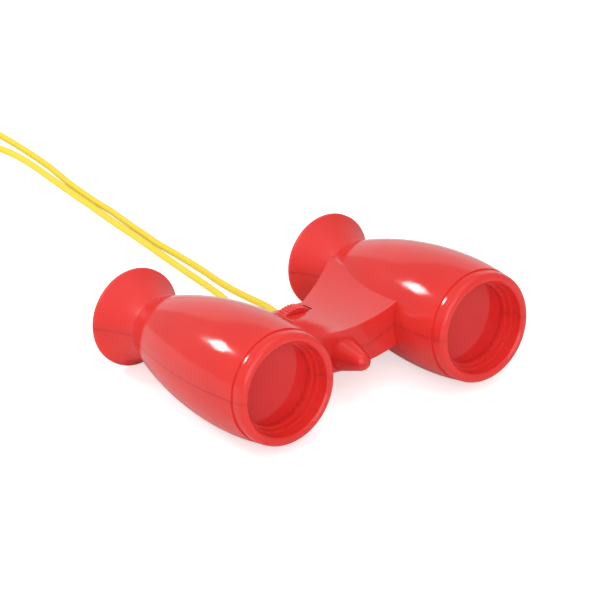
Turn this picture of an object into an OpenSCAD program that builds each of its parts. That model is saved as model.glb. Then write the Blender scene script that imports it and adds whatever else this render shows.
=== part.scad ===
// Toy binoculars: two swelling barrels and a sagging bridge, moulded as an upper and a lower shell
// that close on four lenses, a knurled focus wheel on its pin and the two ends of a neck cord.
// Every size is in millimetres. Sizes along a barrel are counted from its front lip.
// The object lies on a table, on the bellies of its barrels and the rims of its eyecups.

/* [Barrels] */
// Distance between the axes of the two barrels
barrel_spacing = 64; // [60:1:70]
// Length of a barrel, from its front lip to the end of its eyecup
barrel_length = 66.5; // [62:0.5:72]
// Largest radius of a barrel
belly_r = 16; // [15.5:0.1:17]
// Place of the largest section along the barrel
belly_y = 15.5; // [14:0.5:18]
// Radius of the arc that the side of the barrel follows in front of that section
front_arc_r = 80; // [70:1:100]
// Thickness of the moulded walls
wall = 1.4; // [1.2:0.1:1.6]

/* [Front rim] */
// Step in from the largest radius of the barrel to the outside of the rim
rim_inset = 1.15; // [1:0.05:1.4]
// Rounding of the nose of the rim
rim_round = 1.6; // [1:0.1:1.8]
// Length of the rim band
band_len = 2.6; // [2.4:0.1:3]
// Growth of the band's radius from the nose to its rear end
band_flare = 0.15; // [0.05:0.05:0.2]
// Width of the groove behind the band
groove_w = 1.3; // [0.8:0.1:1.6]
// Depth of that groove below the band
groove_d = 0.2; // [0.1:0.05:0.4]

/* [Objective end] */
// Width of the front lip, from the outside of the rim to the recess
lip_w = 2.45; // [2.2:0.05:2.8]
// Depth of the front recess
recess_depth = 3.6; // [3:0.1:4]
// Chamfer at the mouth of the recess
mouth_chamfer = 0.5; // [0.2:0.1:0.7]
// Width of each of the two steps behind the recess
step_w = 0.75; // [0.5:0.05:1]
// Length of each of the two steps
step_len = 1.5; // [1:0.1:1.8]
// Width of the lens edge that the steps and ribs hold
lens_lap = 1; // [0.8:0.1:1.2]
// Thickness of the objective lens at its edge
objective_lens_t = 1.8; // [1.4:0.1:2.2]

/* [Eyepiece end] */
// Length of the flared eyecup, from the narrow neck to its end
eyecup_len = 12; // [11:0.5:13]
// Outer radius of the narrow neck
neck_r = 8.7; // [8.2:0.1:9.4]
// Thickness of the neck's wall around the eyepiece lens
neck_wall = 1.8; // [1.5:0.1:2]
// Outer radius of the eyecup
eyecup_r = 13.2; // [12.8:0.1:13.8]
// Rounding of the outer edge of the eyecup
eyecup_round = 0.6; // [0.3:0.1:0.8]
// Thickness of the edge of the eyecup
eyecup_edge = 1.4; // [1.2:0.1:1.8]
// Radius of the arc of the flare
flare_arc_r = 20; // [16:1:30]
// Width of the flat rear face of the eyecup
eyecup_face_w = 1.3; // [1:0.1:1.6]
// Depth of the funnel of the eyecup
funnel_depth = 9; // [8:0.1:9.5]
// Thickness of the eyepiece lens at its edge
eyepiece_lens_t = 1.6; // [1.2:0.1:1.8]

/* [Bridge] */
// Place of the front face of the bridge
bridge_front_y = 18; // [16:0.5:20]
// Distance from the middle of the rear edge to the ends of the eyecups
bridge_setback = 23.1; // [22.5:0.1:23.5]
// Width of the straight middle of the rear edge
rear_flat_w = 12; // [8:0.5:14]
// Height of the top above the barrel axes, at the middle of the front face
bridge_top = 2.7; // [2:0.1:3.4]
// Depth of the underside below the barrel axes, at the middle
bridge_depth = 8.5; // [7.8:0.1:9]
// Highest level of the top where it runs up to the barrels
bridge_cap = 6.5; // [6:0.1:7]
// Radius of the sag of the top
top_arc_r = 45; // [40:1:60]
// Radius of the sag of the underside
bottom_arc_r = 58; // [50:1:70]
// Fall of the top towards the eyecups, in degrees
top_fall = 4; // [2:0.5:5]
// Slant of the two halves of the rear edge, in degrees
rear_slant = 30; // [25:1:33]
// Radius of the round tip of the nub on the front face
nub_tip_r = 2.5; // [2.4:0.1:2.6]
// Slant of the nub's side, in degrees
nub_taper = 17; // [16.5:0.5:17.5]
// Length of the nub
nub_len = 9; // [8.5:0.1:9.1]
// How far the nub's axis lies below the barrel axes
nub_drop = 4.1; // [4:0.1:4.2]

/* [Focus wheel] */
// Depth of the wheel's axis below the barrel axes
axis_drop = 4.3; // [4.1:0.1:4.4]
// Radius of the wheel over its ridges
wheel_r = 7; // [6.5:0.1:7]
// Width of the wheel
wheel_w = 3.6; // [3:0.1:3.8]
// Gap between the rear of the wheel and the rear edge of the bridge
wheel_setback = 2.2; // [2:0.1:2.6]
// Number of ridges
ridge_count = 46; // [40:1:50]
// Radius of a ridge
ridge_r = 0.3; // [0.24:0.02:0.36]
// Radius of the steel pin
axle_r = 1; // [0.8:0.05:1.2]
// Length of the pin's bearing in front of the wheel
bearing_len = 8; // [6:0.5:10]

/* [Cord] */
// Diameter of the cord
cord_d = 1.9; // [1.6:0.1:1.9]
// Distance of each cord hole from the middle
cord_hole_x = 10.8; // [10.7:0.1:11.1]
// Depth of the cord holes below the barrel axes
cord_hole_drop = 2.6; // [2.4:0.1:2.8]
// Radius of the stopper knots
knot_r = 1.8; // [1.7:0.1:1.9]
// Thickness of the tie around the coil
tie_t = 0.5; // [0.4:0.1:0.6]
// Width of the tie
tie_w = 4; // [3:0.5:6]

/* [Fits] */
// Gap along the parting line between the two shells
seam = 0.06; // [0.05:0.01:0.12]
// Running clearance around the pin
axle_clear = 0.05; // [0.03:0.01:0.08]
// Clearance around the lenses in their grooves
lens_clear = 0.1; // [0.05:0.01:0.15]
// Clearance around the wheel in its pocket
wheel_clear = 0.35; // [0.3:0.05:0.4]
// Clearance around the cord in its holes
cord_clear = 0.3; // [0.25:0.05:0.4]
// Clearance of the pegs in their sockets
peg_clear = 0.05; // [0.03:0.01:0.1]

/* [Hidden] */

// Smoothness of small rounds, of turned shapes and of long arcs
round_fn = 48;
turn_fn = 144;
arc_fn = 720;
// Angle at which a turned shape starts, clear of the parting surface
turn_start = 45;
// Overrun of a cut past the face that it opens, and of a shape into the next one
overrun = 1;

// Barrel places
barrel_x = barrel_spacing / 2;
neck_y = barrel_length - eyecup_len;
// The long arc behind the largest section runs down to the neck
belly_drop = belly_r - neck_r;
belly_arc_r = (pow(neck_y - belly_y, 2) + pow(belly_drop, 2)) / (2 * belly_drop);
belly_c = belly_r - belly_arc_r;
rim_r = belly_r - rim_inset;
band_r = rim_r + band_flare;
body_y = band_len + groove_w;

// Flare: an arc through the neck and through the front of the eyecup's edge
flare_end_y = barrel_length - eyecup_edge;
flare_dr = eyecup_r - neck_r;
flare_dy = flare_end_y - neck_y;
flare_chord = norm([flare_dr, flare_dy]);
flare_reach = sqrt(pow(flare_arc_r, 2) - pow(flare_chord / 2, 2)) / flare_chord;
flare_c = [neck_r + flare_dr / 2 + flare_dy * flare_reach, neck_y + flare_dy / 2 - flare_dr * flare_reach];

// Places and radii inside a barrel
recess_r = rim_r - lip_w;
step_r = recess_r - step_w;
objective_open_r = step_r - step_w;
objective_lens_r = objective_open_r + lens_lap;
eyepiece_lens_r = neck_r - neck_wall - lens_clear;
eyepiece_open_r = eyepiece_lens_r - lens_lap;
step_y = recess_depth + step_len;
objective_y = step_y + step_len;
objective_end_y = objective_y + objective_lens_t + 2 * lens_clear;
tube_y = objective_end_y + wall;
funnel_y = barrel_length - funnel_depth;
eyepiece_y = funnel_y - wall - eyepiece_lens_t - 2 * lens_clear;
tube_end_y = eyepiece_y - wall;
lens_crown = 0.6;

// Bridge places
bridge_rear_y = barrel_length - bridge_setback;
bridge_side = barrel_x;
bridge_floor = bridge_depth + wall;
peg_boss_r = 3;
peg_r = 1.6;
peg_len = 1.2;
peg_x_share = 0.36;
peg_x = bridge_side * peg_x_share;
peg_y = bridge_front_y + peg_boss_r;

// Nub places: its tip's centre, and where it is widest, just inside the front face
nub_tip_y = bridge_front_y - nub_len + nub_tip_r;
nub_sink = 0.15;
nub_root_y = bridge_front_y + nub_sink;
nub_root_r = nub_tip_r * cos(nub_taper)
    + (nub_root_y - nub_tip_y + nub_tip_r * sin(nub_taper)) * tan(nub_taper);

// Wheel and pin places
wheel_end_y = bridge_rear_y - wheel_setback;
wheel_y = wheel_end_y - wheel_w;
pocket_half = wheel_r + wheel_clear;
pocket_y = wheel_y - wheel_clear;
pocket_end_y = wheel_end_y + wheel_clear;
bearing_y = pocket_y - bearing_len;
bearing_half = axle_r + 2 * wall;
axle_end_gap = 0.3;

// Curved parting surface: level with the barrel axes at the barrels, through the wheel's axis between them
part_reach = barrel_x - belly_r;
part_arc_r = (pow(part_reach, 2) + pow(axis_drop, 2)) / (2 * axis_drop);
case_half_w = barrel_x + belly_r + overrun;
case_half_h = belly_r + overrun;

// Resting pose: nose up, on the bellies and on the eyecups' rims
rest_dy = barrel_length - eyecup_round - belly_y;
rest_dz = belly_arc_r - belly_r + eyecup_r - eyecup_round;
rest_tilt = atan2(rest_dy, rest_dz) - acos((belly_arc_r - eyecup_round) / norm([rest_dy, rest_dz]));
rest_lift = belly_y * sin(rest_tilt) + belly_c * cos(rest_tilt) + belly_arc_r;
rest_front = -(rim_r - rim_round) * sin(rest_tilt);
rest_rear = barrel_length * cos(rest_tilt) + (eyecup_r - eyecup_round) * sin(rest_tilt);
rest_mid_y = (rest_front + rest_rear) / 2;

// Cord
cord_r = cord_d / 2;
cord_sides = 8;
coil_sides = 6;
cord_hole_r = cord_r + cord_clear;
knot_gap = 0.4;
// Inner face of the bridge's rear wall at a cord hole, and the knot's place in front of it
hole_reach = cord_hole_x - rear_flat_w / 2 - wall * tan(rear_slant / 2);
hole_wall_y = bridge_rear_y - wall + hole_reach * tan(rear_slant);
knot_y = hole_wall_y - (knot_r + knot_gap) / cos(rear_slant);
// Share of a corner's step by which a ring is turned, so that it lies on a flat side
corner_share = 0.5;
// Each span of a route is split in this many parts, so that a ring comes every 2 or 3 diameters
span_parts = 2;

// Mouth of a cord hole, and the cord's way out of its knot and straight out of the hole
mouth_y = bridge_rear_y + (cord_hole_x - rear_flat_w / 2) * tan(rear_slant);
mouth = rested([0, mouth_y, -cord_hole_drop]);
knot_start_share = 0.75;
lead_out = 1.4;

// Routes on the table, counted along it from the mouths of the holes, and up from where the cord lies
// flat: from the left hole to the lower layer of the coil
left_points = [
    [-10.5, 5, 9.6], [-8.7, 9.5, 7], [-5.4, 14.5, 3.6], [-1.1, 20, 1], [3.5, 25.8, 0.1], [7.4, 31, 0],
    [10.1, 36, 0], [11.15, 41.2, 0], [12, 48.2, 0], [12.65, 55.2, 0], [13.35, 62.4, 0], [14.1, 69.7, 0],
    [14.95, 77.2, 0], [15.75, 84.7, 0], [16.5, 92.2, 0], [17.1, 99.6, 0], [18, 107.5, 0],
    [18.9, 115.5, 0], [19.65, 123.3, 0], [20.55, 131.4, 0], [21.5, 139.7, 0], [22.4, 147.6, 0],
    [22.8, 155.6, 0.1], [22.2, 163.2, 0.2], [20.1, 169.8, 0.4], [16.9, 174.1, 0.5], [12.9, 175.4, 0.55]
];
// From the right hole to the upper layer of the coil
right_points = [
    [10.9, 5, 9.4], [11.8, 9.5, 6.2], [13.3, 14, 3.1], [15, 18.5, 0.9], [16.3, 22.7, 0.1],
    [16.8, 27.2, 0], [16.35, 34.2, 0], [16.05, 41.8, 0], [16.4, 48.7, 0], [17.1, 55.7, 0],
    [17.6, 63.2, 0], [17.9, 71.2, 0], [18.1, 78.7, 0], [18.9, 86.2, 0], [19.6, 93.2, 0], [20.4, 99.9, 0],
    [21.2, 106.8, 0], [21.6, 114.2, 0], [22.3, 121.7, 0], [23.2, 129.2, 0], [24.4, 136.2, 0],
    [25.7, 143.4, 0], [26.5, 150.6, 0.1], [26.7, 158.2, 0.5], [26.3, 166.2, 1.2], [25.3, 174.2, 2.1],
    [24.4, 181.2, 2.7], [24.2, 186.7, 2.75]
];

// Coil: two layers, spiralling in on the lower one and out again on the upper one
coil_reach = 188.6;
coil_centre = [11, mouth[1] + coil_reach];
coil_turns = 4.75;
coil_rings = 24;
coil_outer_r = 13.2;
coil_pitch = 2.25;
coil_layer = 2.2;
coil_z = 1.5;
coil_start = -90;
coil_inner_r = coil_outer_r - coil_pitch * coil_turns / 2;
// Share of a turn on each side of the middle in which the spiral reverses and climbs
climb_share = 0.25;
tie_angle = -45;
tie_gap = 0.3;
tie_turn = (coil_start - tie_angle + 360) / 360;
tie_low_r = coil_radius(tie_turn + 1) - cord_r - tie_gap;
tie_high_r = coil_radius(tie_turn) + cord_r + tie_gap;
tie_top = coil_z + coil_layer + cord_r + tie_gap;
tie_round = 0.8;

// Shared shapes

// Place on the table of a point of the object
function rested(p) = [
    p[0],
    p[1] * cos(rest_tilt) + p[2] * sin(rest_tilt) - rest_mid_y,
    p[2] * cos(rest_tilt) - p[1] * sin(rest_tilt) + rest_lift
];

// Puts the object down on the table
module at_rest() {
    translate([0, -rest_mid_y, rest_lift])
        rotate([-rest_tilt, 0, 0])
            children();
}

// Turns an outline of radius against length about the line along a barrel
module turned(x = 0, z = 0) {
    translate([x, 0, z])
        rotate([-90, 0, 0])
            rotate([0, 0, turn_start])
                rotate_extrude($fn = turn_fn)
                    children();
}

// Part of an arc of a barrel's side, set in from the outside, between two places
module belly(arc_r, inset, from_y, to_y) {
    intersection() {
        translate([belly_r - arc_r, belly_y])
            circle(r = arc_r - inset, $fn = arc_fn);
        translate([0, from_y])
            square([belly_r, to_y - from_y]);
    }
}

module rim_outline() {
    square([rim_r - rim_round, rim_round]);
    translate([rim_r - rim_round, rim_round])
        circle(r = rim_round, $fn = round_fn);
    polygon([[0, rim_round], [rim_r, rim_round], [band_r, band_len], [0, band_len]]);
    translate([0, band_len])
        square([band_r - groove_d, groove_w]);
}

module eyecup_outline() {
    difference() {
        union() {
            translate([0, neck_y - overrun])
                square([eyecup_r, barrel_length - eyecup_round - neck_y + overrun]);
            translate([0, neck_y - overrun])
                square([eyecup_r - eyecup_round, barrel_length - neck_y + overrun]);
            translate([eyecup_r - eyecup_round, barrel_length - eyecup_round])
                circle(r = eyecup_round, $fn = round_fn);
        }
        translate(flare_c)
            circle(r = flare_arc_r, $fn = arc_fn);
    }
}

module barrel_outline() {
    rim_outline();
    belly(front_arc_r, 0, body_y, belly_y);
    belly(belly_arc_r, 0, belly_y, neck_y + overrun);
    eyecup_outline();
}

// Stepped bore of a barrel, from the front recess to the funnel of the eyecup
module bore_outline() {
    mouth_r = recess_r + mouth_chamfer;
    funnel_r = eyecup_r - eyecup_round - eyecup_face_w;
    polygon([[0, -overrun], [mouth_r, -overrun], [mouth_r, 0], [recess_r, mouth_chamfer],
             [recess_r, recess_depth], [0, recess_depth]]);
    square([step_r, step_y]);
    square([objective_open_r, tube_y]);
    translate([0, objective_y])
        square([objective_lens_r + lens_clear, objective_end_y - objective_y]);
    belly(belly_arc_r, wall, tube_y, tube_end_y);
    translate([0, tube_end_y])
        square([eyepiece_open_r, funnel_y - tube_end_y]);
    translate([0, eyepiece_y])
        square([eyepiece_lens_r + lens_clear, eyepiece_lens_t + 2 * lens_clear]);
    polygon([[0, funnel_y], [eyepiece_open_r, funnel_y], [funnel_r, barrel_length],
             [funnel_r, barrel_length + overrun], [0, barrel_length + overrun]]);
}

// Plan of the bridge: straight front, and a rear edge that slants back from its middle to the necks
module bridge_plan(inset) {
    rear_y = bridge_rear_y - inset;
    rear_half = rear_flat_w / 2 + inset * tan(rear_slant / 2);
    side_y = rear_y + (bridge_side - rear_half) * tan(rear_slant);
    polygon([[-bridge_side, bridge_front_y + inset], [bridge_side, bridge_front_y + inset],
             [bridge_side, side_y], [rear_half, rear_y], [-rear_half, rear_y], [-bridge_side, side_y]]);
}

// Long cylinder along the bridge, with its axis at a height above the front face and a fall to the rear
module sag(r, axis_z, fall) {
    translate([0, bridge_front_y, axis_z])
        rotate([-90 - fall, 0, 0])
            cylinder(h = 2 * barrel_length, r = r, center = true, $fn = arc_fn);
}

module bridge_solid(inset) {
    difference() {
        intersection() {
            translate([0, 0, -bridge_floor])
                linear_extrude(bridge_floor + bridge_cap - inset)
                    bridge_plan(inset);
            sag(bottom_arc_r - inset, bottom_arc_r - bridge_depth, 0);
        }
        sag(top_arc_r + inset, top_arc_r + bridge_top, top_fall);
    }
}

// Tapered nub with a round tip; its root narrows again inside the front wall
module nub() {
    turned(0, -nub_drop) {
        polygon([[0, nub_tip_y], [nub_tip_r * cos(nub_taper), nub_tip_y - nub_tip_r * sin(nub_taper)],
                 [nub_root_r, nub_root_y], [nub_tip_r, bridge_front_y + wall], [0, bridge_front_y + wall]]);
        intersection() {
            translate([0, nub_tip_y])
                circle(r = nub_tip_r, $fn = turn_fn);
            translate([0, nub_tip_y - nub_tip_r])
                square([nub_tip_r, nub_len]);
        }
    }
}

module both_sides() {
    for (side = [-1, 1])
        translate([side * barrel_x, 0, 0])
            children();
}

// Upright block through the whole height of the bridge
module bridge_block(half_x, from_y, to_y) {
    translate([-half_x, from_y, -bridge_floor])
        cube([2 * half_x, to_y - from_y, bridge_floor + bridge_cap]);
}

// Pin along the wheel's axis
module axis_pin(r, from_y, to_y) {
    translate([0, from_y, -axis_drop])
        rotate([-90, 0, 0])
            cylinder(h = to_y - from_y, r = r, $fn = round_fn);
}

// What stays solid inside the bridge: the wheel's housing, its bearing and the peg columns
module bridge_ribs() {
    bridge_block(pocket_half + wall, pocket_y - wall, barrel_length);
    bridge_block(bearing_half, bearing_y, pocket_y);
    for (side = [-1, 1])
        translate([side * peg_x, peg_y, -bridge_floor])
            cylinder(h = bridge_floor + bridge_cap, r = peg_boss_r, $fn = round_fn);
}

module bridge_hollow() {
    difference() {
        bridge_solid(wall);
        both_sides()
            turned()
                barrel_outline();
        bridge_ribs();
    }
}

// The whole case before it is parted
module case_moulding() {
    difference() {
        union() {
            both_sides()
                turned()
                    barrel_outline();
            bridge_solid(0);
            nub();
        }
        both_sides()
            turned()
                bore_outline();
        bridge_hollow();
        axis_pin(pocket_half, pocket_y, pocket_end_y);
        axis_pin(axle_r + axle_clear, bearing_y - overrun, bridge_rear_y + overrun);
        for (side = [-1, 1])
            translate([side * cord_hole_x, knot_y, -cord_hole_drop])
                rotate([-90, 0, 0])
                    cylinder(h = barrel_length - knot_y, r = cord_hole_r, $fn = round_fn);
    }
}

// Region along the whole case that a flat outline across it covers
module across_case() {
    translate([0, barrel_length + overrun, 0])
        rotate([90, 0, 0])
            linear_extrude(barrel_length + 2 * overrun)
                children();
}

module above_parting() {
    across_case() {
        translate([-case_half_w, 0])
            square([2 * case_half_w, case_half_h]);
        translate([0, part_arc_r - axis_drop])
            circle(r = part_arc_r, $fn = arc_fn);
    }
}

module below_parting() {
    across_case()
        difference() {
            translate([-case_half_w, -case_half_h])
                square([2 * case_half_w, case_half_h - seam]);
            translate([0, part_arc_r - axis_drop])
                circle(r = part_arc_r + seam, $fn = arc_fn);
        }
}

// Pegs of the upper shell, or their sockets in the lower one when a clearance is given
module pegs(clear, extra) {
    for (side = [-1, 1])
        translate([side * peg_x, peg_y, -axis_drop - peg_len - extra])
            cylinder(h = peg_len + axis_drop + extra, r = peg_r + clear, $fn = round_fn);
}

module upper_shell() {
    color("#E8463E")
        at_rest()
            union() {
                intersection() {
                    case_moulding();
                    above_parting();
                }
                pegs(0, 0);
            }
}

module lower_shell() {
    color("#E8463E")
        at_rest()
            difference() {
                intersection() {
                    case_moulding();
                    below_parting();
                }
                pegs(peg_clear, seam);
            }
}

// Lens with a flat front and a rear that is gently crowned over the clear opening
module lens(r, t, open_r) {
    crown_r = (pow(open_r, 2) + pow(lens_crown, 2)) / (2 * lens_crown);
    square([r, t]);
    intersection() {
        translate([0, t + lens_crown - crown_r])
            circle(r = crown_r, $fn = arc_fn);
        translate([0, t])
            square([open_r, lens_crown]);
    }
}

module objective_lens(side) {
    color("#F2DCDA", 0.5)
        at_rest()
            turned(side * barrel_x)
                translate([0, objective_y + lens_clear])
                    lens(objective_lens_r, objective_lens_t, objective_open_r);
}

module eyepiece_lens(side) {
    color("#F2DCDA", 0.5)
        at_rest()
            turned(side * barrel_x)
                translate([0, eyepiece_y + lens_clear + eyepiece_lens_t])
                    mirror([0, 1])
                        lens(eyepiece_lens_r, eyepiece_lens_t, eyepiece_open_r);
}

module focus_wheel() {
    color("#E03A32")
        at_rest()
            translate([0, wheel_y, -axis_drop])
                rotate([-90, 0, 0])
                    linear_extrude(wheel_w)
                        difference() {
                            union() {
                                circle(r = wheel_r - ridge_r, $fn = turn_fn);
                                for (i = [0 : ridge_count - 1])
                                    rotate(i * 360 / ridge_count)
                                        translate([wheel_r - ridge_r, 0])
                                            circle(r = ridge_r, $fn = round_fn);
                            }
                            circle(r = axle_r, $fn = round_fn);
                        }
}

module wheel_axle() {
    color("#B9BCC0")
        at_rest()
            axis_pin(axle_r, bearing_y, bridge_rear_y - axle_end_gap);
}

// Stopper knot on one end of the cord, behind the rear wall of the bridge
module cord_knot(side) {
    color("#FDE034")
        at_rest()
            translate([side * cord_hole_x, knot_y, -cord_hole_drop])
                sphere(r = knot_r, $fn = round_fn);
}

// Point of a smooth curve through the route, in the span that starts at point i
function curve_point(p, i, t) =
    let (n = len(p) - 1,
         a = p[max(i - 1, 0)], b = p[i], c = p[min(i + 1, n)], d = p[min(i + 2, n)])
    b + (c - a) * t / 2 + (2 * a - 5 * b + 4 * c - d) * pow(t, 2) / 2 + (3 * b - a - 3 * c + d) * pow(t, 3) / 2;

function smooth_route(p) = concat(
    [for (i = [0 : len(p) - 2]) for (k = [0 : span_parts - 1]) curve_point(p, i, k / span_parts)],
    [p[len(p) - 1]]);

function unit(v) = v / norm(v);

function heading(p, i) = unit(p[min(i + 1, len(p) - 1)] - p[max(i - 1, 0)]);

// One ring of a tube: its corners lie about a point, square to the heading and level with the table
function ring(centre, dir, r, sides) =
    let (across = unit(cross(dir, [0, 0, 1])), up = cross(across, dir))
    [for (k = [0 : sides - 1])
        let (angle = (k + corner_share) * 360 / sides)
        centre + r * (cos(angle) * across + sin(angle) * up)];

// Closed tube along a list of points
module tube(p, r, sides) {
    last = len(p) - 1;
    corners = [for (i = [0 : last]) each ring(p[i], heading(p, i), r, sides)];
    walls = [for (i = [0 : last - 1]) for (k = [0 : sides - 1])
        let (a = i * sides + k, b = i * sides + (k + 1) % sides)
        each [[a, a + sides, b], [b, a + sides, b + sides]]];
    front_cap = [for (k = [1 : sides - 2]) [0, k, k + 1]];
    end_cap = [for (k = [1 : sides - 2]) [last * sides, last * sides + k + 1, last * sides + k]];
    polyhedron(points = corners, faces = concat(walls, front_cap, end_cap));
}

// Strand of the cord: out of its knot, straight through the hole and on along the table
module cord_strand(side, points) {
    start = rested([side * cord_hole_x, knot_y + knot_r * knot_start_share, -cord_hole_drop]);
    lead = rested([side * cord_hole_x, mouth_y + lead_out, -cord_hole_drop]);
    route = concat([start, lead], [for (p = points) p + [0, mouth[1], cord_r]]);
    color("#FDE034")
        tube(smooth_route(route), cord_r, cord_sides);
}

// Distance of the coil from its centre after a number of turns, with a smooth reversal at the middle
function coil_radius(turn) =
    let (u = abs(turn - coil_turns / 2))
    coil_inner_r + coil_pitch * (u < climb_share ? (pow(u / climb_share, 2) + 1) * climb_share / 2 : u);

function coil_height(turn) =
    let (u = (turn - coil_turns / 2) / climb_share)
    coil_z + coil_layer * (1 + sin(90 * max(-1, min(1, u)))) / 2;

function coil_point(turn) =
    let (angle = coil_start - 360 * turn)
    [coil_centre[0] + coil_radius(turn) * cos(angle), coil_centre[1] + coil_radius(turn) * sin(angle),
     coil_height(turn)];

coil_steps = coil_rings * coil_turns;
coil_path = [for (i = [0 : coil_steps]) coil_point(i / coil_rings)];
// Straight ends, one cord diameter long
coil_first = coil_path[0] + [cord_d, 0, 0];
coil_last = coil_path[coil_steps] - [0, cord_d, 0];
coil_route = concat([coil_first], coil_path, [coil_last]);

coil_gaps = [for (i = [0 : coil_steps - coil_rings / 2]) for (j = [i + coil_rings / 2 : coil_steps])
    norm(coil_path[i] - coil_path[j]) - cord_d];
echo("least gap of the coil to itself", min(coil_gaps));

module cord_coil() {
    color("#FDE034")
        tube(coil_route, cord_r, coil_sides);
}

module rounded_window(x0, y0, x1, y1, r) {
    translate([x0 + r, y0])
        square([x1 - x0 - 2 * r, y1 - y0]);
    translate([x0, y0 + r])
        square([x1 - x0, y1 - y0 - 2 * r]);
    for (x = [x0 + r, x1 - r])
        for (y = [y0 + r, y1 - r])
            translate([x, y])
                circle(r = r, $fn = round_fn);
}

// Flat band around two turns of both layers
module cord_tie() {
    color("#F4F1E6")
        translate([coil_centre[0], coil_centre[1], 0])
            rotate([0, 0, tie_angle])
                rotate([90, 0, 0])
                    translate([0, 0, -tie_w / 2])
                        linear_extrude(tie_w)
                            difference() {
                                rounded_window(tie_low_r - tie_t, 0, tie_high_r + tie_t, tie_top + tie_t,
                                               tie_round + tie_t);
                                rounded_window(tie_low_r, tie_t, tie_high_r, tie_top, tie_round);
                            }
}

upper_shell();
lower_shell();
objective_lens(-1);  // left_objective_lens
objective_lens(1);  // right_objective_lens
eyepiece_lens(-1);  // left_eyepiece_lens
eyepiece_lens(1);  // right_eyepiece_lens
focus_wheel();
wheel_axle();
cord_knot(-1);  // left_cord_knot
cord_knot(1);  // right_cord_knot
cord_strand(-1, left_points);  // left_cord_strand
cord_strand(1, right_points);  // right_cord_strand
cord_coil();
cord_tie();
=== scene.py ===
"""Looks of the toy binoculars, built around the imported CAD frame. Lengths are in metres unless noted."""

import math

import bpy
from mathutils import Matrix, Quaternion, Vector


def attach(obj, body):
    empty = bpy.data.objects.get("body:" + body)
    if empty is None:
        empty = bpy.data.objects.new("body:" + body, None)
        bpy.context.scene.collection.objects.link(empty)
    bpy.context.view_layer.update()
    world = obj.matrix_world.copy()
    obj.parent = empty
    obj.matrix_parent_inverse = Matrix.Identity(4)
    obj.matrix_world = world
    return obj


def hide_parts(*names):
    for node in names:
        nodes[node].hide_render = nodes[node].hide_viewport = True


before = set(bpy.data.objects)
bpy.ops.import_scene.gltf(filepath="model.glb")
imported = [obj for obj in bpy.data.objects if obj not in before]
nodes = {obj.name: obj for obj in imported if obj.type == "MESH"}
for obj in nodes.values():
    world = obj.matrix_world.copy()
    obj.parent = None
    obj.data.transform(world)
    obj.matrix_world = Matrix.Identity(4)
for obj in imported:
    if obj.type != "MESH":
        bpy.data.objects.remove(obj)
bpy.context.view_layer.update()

MM = 0.001
SHELLS = ("upper_shell", "lower_shell")
LENSES = ("left_objective_lens", "right_objective_lens", "left_eyepiece_lens", "right_eyepiece_lens")

# Camera, at the photograph's angle. Its sensor's width is in millimetres
IMAGE_WIDTH = 599
FOCAL_PIXELS = 3527
SENSOR_WIDTH = 36
CAMERA_AT = Vector((-0.51922, -0.65155, 0.39091))
LOOK_AT = Vector((0.0101, 0.01664, 0.01412))
CAMERA_ROLL = math.radians(1.259)
CAMERA_FAR = 100

# The case at rest: the middle of its front lips, its parting plane's normal, and how its barrels lie
FRONT_AT = Vector((0, -33.172, 17.078)) * MM
PARTING_NORMAL = Vector((0, 0.059188, 0.998247))
BARREL_AXIS = Vector((0, 0.998247, -0.059188))
ACROSS_BARRELS = Vector((1, 0, 0))
BARREL_X = 32 * MM

# Recess in front of each objective lens, and the start of the eyecups behind the necks
RECESS_R = 12.45 * MM
RECESS_DEPTH = 5 * MM
RECESS_EDGE = 0.1 * MM
RING_PITCH = 0.55 * MM
CUP_FROM = 52 * MM
CUP_BLEND = 4 * MM

# Cord, with the same routes and coil as the solids. Its two routes are in millimetres
CORD_D = 1.9 * MM
CORD_R = CORD_D / 2
CORD_SIDES = 20
ROUTE_PARTS = 6
COIL_PARTS = 2
LEFT_ROUTE = [
    (-10.8, 9.962, 11.916), (-10.8, 14.162, 11.667), (-10.5, 17.76, 10.55), (-8.7, 22.26, 7.95),
    (-5.4, 27.26, 4.55), (-1.1, 32.76, 1.95), (3.5, 38.56, 1.05), (7.4, 43.76, 0.95), (10.1, 48.76, 0.95),
    (11.15, 53.96, 0.95), (12, 60.96, 0.95), (12.65, 67.96, 0.95), (13.35, 75.16, 0.95), (14.1, 82.46, 0.95),
    (14.95, 89.96, 0.95), (15.75, 97.46, 0.95), (16.5, 104.96, 0.95), (17.1, 112.36, 0.95),
    (18, 120.26, 0.95), (18.9, 128.26, 0.95), (19.65, 136.06, 0.95), (20.55, 144.16, 0.95),
    (21.5, 152.46, 0.95), (22.4, 160.36, 0.95), (22.8, 168.36, 1.05), (22.2, 175.96, 1.15),
    (20.1, 182.56, 1.35), (16.9, 186.86, 1.45), (12.9, 188.16, 1.5),
]
RIGHT_ROUTE = [
    (10.8, 9.962, 11.916), (10.8, 14.162, 11.667), (10.9, 17.76, 10.35), (11.8, 22.26, 7.15),
    (13.3, 26.76, 4.05), (15, 31.26, 1.85), (16.3, 35.46, 1.05), (16.8, 39.96, 0.95), (16.35, 46.96, 0.95),
    (16.05, 54.56, 0.95), (16.4, 61.46, 0.95), (17.1, 68.46, 0.95), (17.6, 75.96, 0.95), (17.9, 83.96, 0.95),
    (18.1, 91.46, 0.95), (18.9, 98.96, 0.95), (19.6, 105.96, 0.95), (20.4, 112.66, 0.95),
    (21.2, 119.56, 0.95), (21.6, 126.96, 0.95), (22.3, 134.46, 0.95), (23.2, 141.96, 0.95),
    (24.4, 148.96, 0.95), (25.7, 156.16, 0.95), (26.5, 163.36, 1.05), (26.7, 170.96, 1.45),
    (26.3, 178.96, 2.15), (25.3, 186.96, 3.05), (24.4, 193.96, 3.65), (24.2, 199.46, 3.7),
]
COIL_CENTRE = Vector((11, 201.364, 0)) * MM
COIL_TURNS = 4.75
COIL_RINGS = 24
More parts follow.
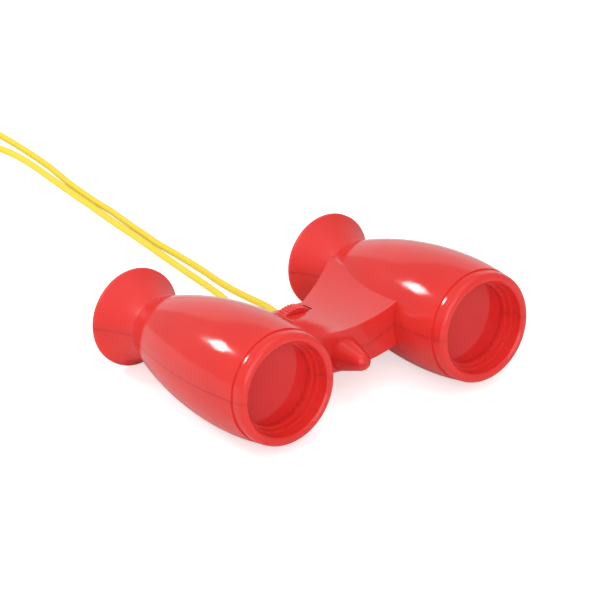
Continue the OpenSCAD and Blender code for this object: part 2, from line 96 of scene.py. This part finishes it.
COIL_OUTER_R = 13.2 * MM
COIL_PITCH = 2.25 * MM
COIL_LAYER = 2.2 * MM
COIL_Z = 1.5 * MM
COIL_START = -90
COIL_CLIMB_SHARE = 0.25

# Stopper knots on the cord's ends
KNOT_CENTRES = {"left": Vector((-10.8, 8.614, 11.996)) * MM, "right": Vector((10.8, 8.614, 11.996)) * MM}
KNOT_SIZE = 0.37 * MM
KNOT_TUBE_R = 0.65 * MM
KNOT_RINGS = 72

# Tie around the coil, as a window seen along the coil's turns: from its inner to its outer side, and its top
TIE_ANGLE = math.radians(-45)
TIE_INNER_R = 7.481 * MM
TIE_OUTER_R = 12.731 * MM
TIE_FOOT = 0.25 * MM
TIE_TOP = 5.2 * MM
TIE_ROUND = 1.05 * MM
TIE_WIDTH = 4 * MM
TIE_THICKNESS = 0.46 * MM
TIE_CORNER_PARTS = 6
TIE_WIDTH_PARTS = 8

# What the materials share: the values most noise lies between, and the strength of a relief
NOISE_SPREAD = (0.3, 0.7)
RELIEF_STRENGTH = 0.6

# Plastic of the shells. Tones are stops on a colour ramp, and a scale is that of noise, here and below
SHELL_TONES = ((0.35, (0.79, 0.036, 0.031, 1)), (0.65, (0.83, 0.043, 0.037, 1)))
SHELL_TONE_SCALE = 45
SHELL_ROUGHNESS = (0.1, 0.15)
SHELL_ROUGHNESS_SCALE = 350
SHELL_GRAIN_SCALE = 2600
SHELL_GRAIN_HEIGHT = 0.1
SHELL_WAVE_SCALE = 110
SHELL_WAVE_HEIGHT = 3.0
SHELL_RELIEF = 0.03 * MM
CUP_ROUGHER = 0.38
CUP_GRAIN_HEIGHT = 0.6

# Plastic of the focus wheel
WHEEL_TONES = ((0.35, (0.78, 0.036, 0.031, 1)), (0.65, (0.82, 0.043, 0.037, 1)))
WHEEL_TONE_SCALE = 200
WHEEL_ROUGHNESS = (0.28, 0.4)
WHEEL_ROUGHNESS_SCALE = 600
WHEEL_GRAIN_SCALE = 2200
WHEEL_RELIEF = 0.03 * MM

# Plastic of the lenses
LENS_TONES = ((0.3, (0.79, 0.024, 0.024, 1)), (0.7, (0.85, 0.034, 0.034, 1)))
LENS_TONE_SCALE = 60
LENS_ROUGHNESS = (0.05, 0.14)
LENS_MARK_SCALE = 900
LENS_MARK_SPREAD = (0.45, 0.75)
LENS_WAVE_SCALE = 90
LENS_RELIEF = 0.04 * MM
LENS_RELIEF_STRENGTH = 0.3

# Steel of the pin
STEEL_SCRATCH_SCALE = 6000
STEEL_SCRATCH_STRETCH = (1, 0.03, 1)
STEEL_ROUGHNESS = (0.2, 0.38)
STEEL_RELIEF = 0.01 * MM
STEEL_RELIEF_STRENGTH = 0.5

# Yarn of the cord: strands counted around it, and along it over a length of its circumference
BRAID_STRANDS = 7
BRAID_LAY = 4
BRAID_HEIGHTS = (-0.4, 1)
# Heights of the braid over which the yarn goes from its painted shade between the strands to its full tone
BRAID_SHADE_HEIGHTS = (-0.4, 0.9)
YARN_TONES_WITH_PAINTED_SHADE = ((0, (0.95, 0.69, 0.022, 1)), (0.6, (0.99, 0.78, 0.034, 1)))
YARN_ROUGHNESS = (0.75, 0.5)
YARN_RELIEF = 0.03 * MM
FUZZ_SCALE = 5000
FUZZ_HEIGHT = 0.4

# Tape of the tie: waves of its weave, counted across its width and around its loop
TAPE_WARPS = 10
TAPE_WEFTS = 48
# Tape colour, from its painted shade in the dips of the weave to its full tone
TAPE_TONES_WITH_PAINTED_SHADE = ((0, (0.72, 0.69, 0.6, 1)), (1, (0.88, 0.86, 0.79, 1)))
TAPE_ROUGHNESS = (0.95, 0.8)
TAPE_RELIEF = 0.05 * MM

# Studio: the floor's glow for each kind of ray, and each lamp's name, place, aim, width, height and radiance
FLOOR_REACH = 4
FLOOR_GREY = (0.85, 0.85, 0.85, 1)
FLOOR_GLOW = {"Is Camera Ray": 0.6, "Is Transmission Ray": 0.15, "Is Glossy Ray": 0.04}
WORLD_STRENGTH = 0.5
LAMPS = (
    ("top", (-0.1, -0.1, 1), (0, 0, 0), 0.9, 0.9, 0.76),
    ("front", (-0.7, -1.05, 0.65), (0, 0, 0), 1.3, 1.1, 2.05),
    ("card", (0.514, 0.658, 0.337), (0, 0, 0.02), 1.12, 0.62, 0.42),
    ("key", (-0.465, 0.706, 0.547), (-0.01, -0.019, 0.027), 0.18, 0.16, 29),
)


def mesh_object(name, points, faces, corner_uvs=None):
    """A smooth mesh piece. corner_uvs holds one (u, v) for each corner of each face, in order."""
    mesh = bpy.data.meshes.new(name)
    mesh.from_pydata(points, [], faces)
    mesh.shade_smooth()
    if corner_uvs:
        layer = mesh.uv_layers.new(name="UVMap")
        for loop, uv in zip(layer.data, corner_uvs):
            loop.uv = uv
    piece = bpy.data.objects.new(name, mesh)
    bpy.context.scene.collection.objects.link(piece)
    return piece


def curve_through(points, parts):
    """Points of a smooth curve through the given ones, with that many parts to a span."""
    last = len(points) - 1
    found = []
    for i in range(last):
        a, b, c, d = (points[min(max(i + k, 0), last)] for k in (-1, 0, 1, 2))
        for k in range(parts):
            t = k / parts
            slope = (c - a) * t / 2
            bend = (2 * a - 5 * b + 4 * c - d) * t**2 / 2
            twist = (3 * b - a - 3 * c + d) * t**3 / 2
            found.append(b + slope + bend + twist)
    return found + [points[-1]]


def headings_along(path, closed):
    """Unit direction of a path at each of its points."""
    count = len(path)
    found = []
    for i in range(count):
        before = path[i - 1] if closed else path[max(i - 1, 0)]
        after = path[(i + 1) % count] if closed else path[min(i + 1, count - 1)]
        found.append((after - before).normalized())
    return found


def lengths_along(path):
    """Length of a path up to each of its points, and at last on to its first point again."""
    found = [0]
    for a, b in zip(path, path[1:] + path[:1]):
        found.append(found[-1] + (b - a).length)
    return found


def tube_points(path, radius, sides, closed):
    """A ring of points around each point of a path, with no twist from ring to ring."""
    headings = headings_along(path, closed)
    across = headings[0].cross(Vector((0, 0, 1))).normalized()
    points = []
    for centre, heading in zip(path, headings):
        across = (across - heading * across.dot(heading)).normalized()
        up = across.cross(heading)
        for k in range(sides):
            angle = 2 * math.pi * k / sides
            points.append(centre + radius * (math.cos(angle) * across + math.sin(angle) * up))
    return points


def tube(name, path, radius, sides, closed=False):
    """A tube along a path. Its map runs along the path in lengths of its circumference, and once around."""
    count = len(path)
    around = 2 * math.pi * radius
    along = [length / around for length in lengths_along(path)]
    faces = []
    uvs = []
    for i in range(count if closed else count - 1):
        j = (i + 1) % count
        for k in range(sides):
            m = (k + 1) % sides
            faces.append((i * sides + k, i * sides + m, j * sides + m, j * sides + k))
            low = k / sides
            high = (k + 1) / sides
            uvs += [(along[i], low), (along[i], high), (along[i + 1], high), (along[i + 1], low)]
    if not closed:
        for ring, order in ((0, range(sides - 1, -1, -1)), (count - 1, range(sides))):
            faces.append(tuple(ring * sides + k for k in order))
            uvs += [(along[ring], k / sides) for k in order]
    return mesh_object(name, tube_points(path, radius, sides, closed), faces, uvs)


def coil_points():
    """The coil's points: it spirals in on the lower layer and out again on the upper one."""
    middle = COIL_TURNS / 2
    inner_r = COIL_OUTER_R - COIL_PITCH * middle
    found = []
    for i in range(int(COIL_RINGS * COIL_TURNS) + 1):
        turn = i / COIL_RINGS - middle
        climb = max(-1, min(1, turn / COIL_CLIMB_SHARE))
        away = abs(turn) if abs(climb) == 1 else (climb**2 + 1) * COIL_CLIMB_SHARE / 2
        angle = math.radians(COIL_START - 360 * (turn + middle))
        r = inner_r + COIL_PITCH * away
        z = COIL_Z + COIL_LAYER * (1 + math.sin(climb * math.pi / 2)) / 2
        found.append(COIL_CENTRE + Vector((r * math.cos(angle), r * math.sin(angle), z)))
    return found


def make_cord():
    """The neck cord, from the left hole through the coil and back to the right hole."""
    start = [Vector(p) * MM for p in LEFT_ROUTE]
    end = [Vector(p) * MM for p in reversed(RIGHT_ROUTE)]
    wound = curve_through(start[-2:] + coil_points() + end[:2], COIL_PARTS)
    path = curve_through(start, ROUTE_PARTS)
    path += wound[COIL_PARTS + 1:-COIL_PARTS - 1]
    path += curve_through(end, ROUTE_PARTS)
    length = sum((b - a).length for a, b in zip(path, path[1:]))
    cord = tube("neck_cord", path, CORD_R, CORD_SIDES)
    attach(cord, "case")
    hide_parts("left_cord_strand", "right_cord_strand", "cord_coil")
    return cord, length, path


def make_knot(side):
    """A stopper knot, pulled tight: a closed trefoil of cord."""
    path = []
    for i in range(KNOT_RINGS):
        t = 2 * math.pi * i / KNOT_RINGS
        x = math.sin(t) + 2 * math.sin(2 * t)
        y = math.cos(t) - 2 * math.cos(2 * t)
        path.append(KNOT_CENTRES[side] + KNOT_SIZE * Vector((x, -math.sin(3 * t), y)))
    knot = tube(side + "_knot", path, KNOT_TUBE_R, CORD_SIDES, closed=True)
    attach(knot, "case")
    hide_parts(side + "_cord_knot")
    return knot


def tie_outline():
    """Middle line of the tie's loop, as (distance from the coil's middle, height) with rounded corners."""
    corners = [(TIE_OUTER_R, TIE_FOOT, -90), (TIE_OUTER_R, TIE_TOP, 0),
               (TIE_INNER_R, TIE_TOP, 90), (TIE_INNER_R, TIE_FOOT, 180)]
    found = []
    for r, z, first in corners:
        centre_r = r - TIE_ROUND if r == TIE_OUTER_R else r + TIE_ROUND
        centre_z = z - TIE_ROUND if z == TIE_TOP else z + TIE_ROUND
        for k in range(TIE_CORNER_PARTS + 1):
            angle = math.radians(first + 90 * k / TIE_CORNER_PARTS)
            found.append((centre_r + TIE_ROUND * math.cos(angle), centre_z + TIE_ROUND * math.sin(angle)))
    return found


def make_tie():
    """A flat woven tape around the coil's turns."""
    out = Vector((math.cos(TIE_ANGLE), math.sin(TIE_ANGLE), 0))
    along = Vector((-out.y, out.x, 0))
    outline = tie_outline()
    count = len(outline)
    points = []
    for r, z in outline:
        for k in range(TIE_WIDTH_PARTS + 1):
            shift = TIE_WIDTH * (k / TIE_WIDTH_PARTS - 0.5)
            points.append(COIL_CENTRE + r * out + shift * along + Vector((0, 0, z)))
    faces = []
    uvs = []
    row = TIE_WIDTH_PARTS + 1
    for i in range(count):
        j = (i + 1) % count
        for k in range(TIE_WIDTH_PARTS):
            faces.append((i * row + k, i * row + k + 1, j * row + k + 1, j * row + k))
            low = k / TIE_WIDTH_PARTS
            high = (k + 1) / TIE_WIDTH_PARTS
            uvs += [(i / count, low), (i / count, high), ((i + 1) / count, high), ((i + 1) / count, low)]
    tie = mesh_object("coil_tie", points, faces, uvs)
    thick = tie.modifiers.new("thickness", "SOLIDIFY")
    thick.thickness = TIE_THICKNESS
    thick.offset = 0
    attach(tie, "case")
    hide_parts("cord_tie")
    return tie


def make_material(name, **settings):
    """A new material, with plain values on its shader's own sockets. Returns it, its tree and its shader."""
    material = bpy.data.materials.new(name)
    material.use_nodes = True
    tree = material.node_tree
    shader = tree.nodes["Principled BSDF"]
    for socket, value in settings.items():
        shader.inputs[socket.replace("_", " ")].default_value = value
    return material, tree, shader


def add(tree, kind, inputs=None, **settings):
    """A new node. inputs gives each named socket a plain value, or another node's output to link."""
    node = tree.nodes.new("ShaderNode" + kind)
    for name, value in settings.items():
        setattr(node, name, value)
    for name, value in (inputs or {}).items():
        if isinstance(value, bpy.types.NodeSocket):
            tree.links.new(value, node.inputs[name])
        else:
            node.inputs[name].default_value = value
    return node


def place(tree):
    """The point on the surface, in the piece's own coordinates."""
    return add(tree, "TexCoord").outputs["Object"]


def noise(tree, scale, detail=3, at=None):
    """Smooth noise at the point on the surface, or at another one."""
    where = place(tree) if at is None else at
    return add(tree, "TexNoise", {"Vector": where, "Scale": scale, "Detail": detail}).outputs["Fac"]


def remap(tree, value, low, high, to_low, to_high):
    settings = {"Value": value, "From Min": low, "From Max": high, "To Min": to_low, "To Max": to_high}
    return add(tree, "MapRange", settings).outputs["Result"]


def math_of(tree, operation, first, second=0.0):
    return add(tree, "Math", {0: first, 1: second}, operation=operation).outputs[0]


def ramp(tree, factor, *stops):
    """A colour ramp between two (place, colour) stops."""
    node = add(tree, "ValToRGB", {"Fac": factor})
    for element, (where, colour) in zip(node.color_ramp.elements, stops):
        element.position = where
        element.color = colour
    return node.outputs["Color"]


def tint(tree, shader, scale, tones):
    """Faint patches between two tones on a shader."""
    tree.links.new(ramp(tree, noise(tree, scale), *tones), shader.inputs["Base Color"])


def bump(tree, shader, height, distance, strength=RELIEF_STRENGTH):
    settings = {"Height": height, "Distance": distance, "Strength": strength}
    tree.links.new(add(tree, "Bump", settings).outputs["Normal"], shader.inputs["Normal"])


def distance_along(tree, direction, origin):
    """How far the point on the surface lies from origin along a direction."""
    from_origin = add(tree, "VectorMath", {0: place(tree), 1: origin}, operation="SUBTRACT").outputs[0]
    return add(tree, "VectorMath", {0: from_origin, 1: direction}, operation="DOT_PRODUCT").outputs["Value"]


def from_barrel_axis(tree, height):
    """Distance from the nearer barrel's axis. height is the distance from the parting plane."""
    across = math_of(tree, "ABSOLUTE", distance_along(tree, ACROSS_BARRELS, FRONT_AT))
    beside = math_of(tree, "POWER", math_of(tree, "SUBTRACT", across, BARREL_X), 2.0)
    return math_of(tree, "SQRT", math_of(tree, "ADD", beside, math_of(tree, "POWER", height, 2.0)))


def recess_rings(tree, depth, height):
    """Fine turned rings on the wall of the recess in front of each objective lens."""
    rings = math_of(tree, "SINE", math_of(tree, "MULTIPLY", depth, 2 * math.pi / RING_PITCH))
    inside = remap(tree, from_barrel_axis(tree, height), RECESS_R, RECESS_R + RECESS_EDGE, 1, 0)
    ahead = remap(tree, depth, RECESS_DEPTH, RECESS_DEPTH + RECESS_EDGE, 1, 0)
    return math_of(tree, "MULTIPLY", rings, math_of(tree, "MULTIPLY", inside, ahead))


def shell_plastic():
    """Glossy moulded red plastic with slow waves, duller on the eyecups, and turned rings in the recesses."""
    material, tree, shader = make_material(
        "red_plastic", Subsurface_Weight=0.3, Subsurface_Radius=(1, 0.1, 0.06), Subsurface_Scale=4 * MM,
        IOR=1.43)
    depth = distance_along(tree, BARREL_AXIS, FRONT_AT)
    height = distance_along(tree, PARTING_NORMAL, FRONT_AT)
    tint(tree, shader, SHELL_TONE_SCALE, SHELL_TONES)
    on_cup = remap(tree, depth, CUP_FROM, CUP_FROM + CUP_BLEND, 0, 1)
    gloss = remap(tree, noise(tree, SHELL_ROUGHNESS_SCALE), *NOISE_SPREAD, *SHELL_ROUGHNESS)
    satin = math_of(tree, "MULTIPLY", on_cup, CUP_ROUGHER)
    tree.links.new(math_of(tree, "ADD", gloss, satin), shader.inputs["Roughness"])
    grain_height = remap(tree, on_cup, 0, 1, SHELL_GRAIN_HEIGHT, CUP_GRAIN_HEIGHT)
    grain = math_of(tree, "MULTIPLY", noise(tree, SHELL_GRAIN_SCALE, detail=2), grain_height)
    waves = math_of(tree, "MULTIPLY", noise(tree, SHELL_WAVE_SCALE, detail=1), SHELL_WAVE_HEIGHT)
    relief = math_of(tree, "ADD", math_of(tree, "ADD", grain, waves), recess_rings(tree, depth, height))
    bump(tree, shader, relief, SHELL_RELIEF)
    return material


def wheel_plastic():
    """The red plastic of the wheel, less glossy than the shells."""
    material, tree, shader = make_material("wheel_plastic", Subsurface_Weight=0.2, Subsurface_Scale=2 * MM,
                                           Subsurface_Radius=(1, 0.12, 0.08))
    tint(tree, shader, WHEEL_TONE_SCALE, WHEEL_TONES)
    satin = remap(tree, noise(tree, WHEEL_ROUGHNESS_SCALE), *NOISE_SPREAD, *WHEEL_ROUGHNESS)
    tree.links.new(satin, shader.inputs["Roughness"])
    bump(tree, shader, noise(tree, WHEEL_GRAIN_SCALE), WHEEL_RELIEF)
    return material


def lens_plastic():
    """Hazy plastic with a red tint, faint moulding waves and handling marks."""
    material, tree, shader = make_material("lens_plastic", IOR=1.4, Transmission_Weight=0.15)
    tint(tree, shader, LENS_TONE_SCALE, LENS_TONES)
    marks = noise(tree, LENS_MARK_SCALE, detail=6)
    tree.links.new(remap(tree, marks, *LENS_MARK_SPREAD, *LENS_ROUGHNESS), shader.inputs["Roughness"])
    bump(tree, shader, noise(tree, LENS_WAVE_SCALE, detail=1), LENS_RELIEF, LENS_RELIEF_STRENGTH)
    return material


def steel():
    """Drawn steel: fine scratches along the pin."""
    material, tree, shader = make_material("steel", Base_Color=(0.62, 0.62, 0.63, 1), Metallic=1)
    stretched = add(tree, "Mapping", {"Vector": place(tree), "Scale": STEEL_SCRATCH_STRETCH}).outputs[0]
    drawn = noise(tree, STEEL_SCRATCH_SCALE, detail=4, at=stretched)
    tree.links.new(remap(tree, drawn, *NOISE_SPREAD, *STEEL_ROUGHNESS), shader.inputs["Roughness"])
    bump(tree, shader, drawn, STEEL_RELIEF, STEEL_RELIEF_STRENGTH)
    return material


def map_phase(tree, axis, turns):
    """An angle with so many turns to one unit of the map, along its X or its Y."""
    uv = add(tree, "SeparateXYZ", {0: add(tree, "TexCoord").outputs["UV"]})
    return math_of(tree, "MULTIPLY", uv.outputs[axis], 2 * math.pi * turns)


def braid(tree):
    """Height of a braid from the map: strands in both hands, each crossing over and under the others."""
    along = map_phase(tree, "X", BRAID_LAY)
    around = map_phase(tree, "Y", BRAID_STRANDS)
    one = math_of(tree, "SINE", math_of(tree, "ADD", around, along))
    other = math_of(tree, "SINE", math_of(tree, "SUBTRACT", around, along))
    return math_of(tree, "MAXIMUM", one, other)


def cord_yarn():
    """Yellow braided yarn, with painted shade between the strands."""
    material, tree, shader = make_material("cord_yarn", Sheen_Weight=0.25, Sheen_Roughness=0.4)
    weave = braid(tree)
    # Painted shade: the yarn is darker where the braid is low, between the strands
    shade = ramp(tree, remap(tree, weave, *BRAID_SHADE_HEIGHTS, 0, 1), *YARN_TONES_WITH_PAINTED_SHADE)
    tree.links.new(shade, shader.inputs["Base Color"])
    tree.links.new(remap(tree, weave, *BRAID_HEIGHTS, *YARN_ROUGHNESS), shader.inputs["Roughness"])
    fuzz = math_of(tree, "MULTIPLY", noise(tree, FUZZ_SCALE, detail=2), FUZZ_HEIGHT)
    bump(tree, shader, math_of(tree, "ADD", weave, fuzz), YARN_RELIEF)
    return material


def tape_weave():
    """Plain woven cotton tape, with painted shade in the dips of its weave."""
    material, tree, shader = make_material("tie_tape", Sheen_Weight=0.2)
    warp = math_of(tree, "SINE", map_phase(tree, "Y", TAPE_WARPS))
    weft = math_of(tree, "SINE", map_phase(tree, "X", TAPE_WEFTS))
    weave = math_of(tree, "MULTIPLY", warp, weft)
    # Painted shade: the tape is darker where the weave is low
    shade = ramp(tree, remap(tree, weave, -1, 1, 0, 1), *TAPE_TONES_WITH_PAINTED_SHADE)
    tree.links.new(shade, shader.inputs["Base Color"])
    tree.links.new(remap(tree, weave, -1, 1, *TAPE_ROUGHNESS), shader.inputs["Roughness"])
    bump(tree, shader, weave, TAPE_RELIEF)
    return material


def dress(pieces, material):
    for piece in pieces:
        piece.data.materials.clear()
        piece.data.materials.append(material)


def add_camera():
    data = bpy.data.cameras.new("camera")
    data.sensor_width = SENSOR_WIDTH
    data.lens = SENSOR_WIDTH * FOCAL_PIXELS / IMAGE_WIDTH
    data.clip_end = CAMERA_FAR
    camera = bpy.data.objects.new("camera", data)
    bpy.context.scene.collection.objects.link(camera)
    forward = (LOOK_AT - CAMERA_AT).normalized()
    camera.location = CAMERA_AT
    camera.rotation_mode = "QUATERNION"
    camera.rotation_quaternion = Quaternion(-forward, CAMERA_ROLL) @ forward.to_track_quat("-Z", "Y")
    bpy.context.scene.camera = camera


def add_lamp(name, at, towards, width, height, radiance):
    """A soft rectangular lamp of even radiance, out of the camera's sight."""
    data = bpy.data.lights.new(name, "AREA")
    data.shape = "RECTANGLE"
    data.size = width
    data.size_y = height
    data.energy = radiance * math.pi * width * height
    lamp = bpy.data.objects.new(name, data)
    bpy.context.scene.collection.objects.link(lamp)
    lamp.location = at
    lamp.rotation_mode = "QUATERNION"
    lamp.rotation_quaternion = (Vector(towards) - Vector(at)).to_track_quat("-Z", "Y")
    lamp.visible_camera = False


def add_floor():
    """A white floor with a glow of its own, which softens the shadows in the camera's view."""
    corners = [(x * FLOOR_REACH, y * FLOOR_REACH, 0) for x, y in ((-1, -1), (1, -1), (1, 1), (-1, 1))]
    floor = mesh_object("floor", corners, [(0, 1, 2, 3)])
    material, tree, shader = make_material("floor", Base_Color=FLOOR_GREY, Roughness=0.9,
                                           Specular_IOR_Level=0)
    rays = add(tree, "LightPath")
    shown = 0.0
    for kind, share in FLOOR_GLOW.items():
        shown = math_of(tree, "MAXIMUM", shown, math_of(tree, "MULTIPLY", rays.outputs[kind], share))
    glow = add(tree, "Emission", {"Color": (1, 1, 1, 1), "Strength": shown})
    both = add(tree, "AddShader", {0: shader.outputs[0], 1: glow.outputs[0]})
    tree.links.new(both.outputs[0], tree.nodes["Material Output"].inputs["Surface"])
    floor.data.materials.append(material)


def add_world():
    world = bpy.data.worlds.new("studio")
    bpy.context.scene.world = world
    world.use_nodes = True
    background = world.node_tree.nodes["Background"]
    background.inputs["Color"].default_value = (1, 1, 1, 1)
    background.inputs["Strength"].default_value = WORLD_STRENGTH


add_camera()
cord, cord_length, cord_path = make_cord()
knots = [make_knot(side) for side in KNOT_CENTRES]
tie = make_tie()
dress([nodes[name] for name in SHELLS], shell_plastic())
dress([nodes[name] for name in LENSES], lens_plastic())
dress([nodes["focus_wheel"]], wheel_plastic())
dress([nodes["wheel_axle"]], steel())
dress([cord] + knots, cord_yarn())
dress([tie], tape_weave())
add_floor()
add_world()
for lamp in LAMPS:
    add_lamp(*lamp)

bpy.context.scene.view_settings.view_transform = "Standard"
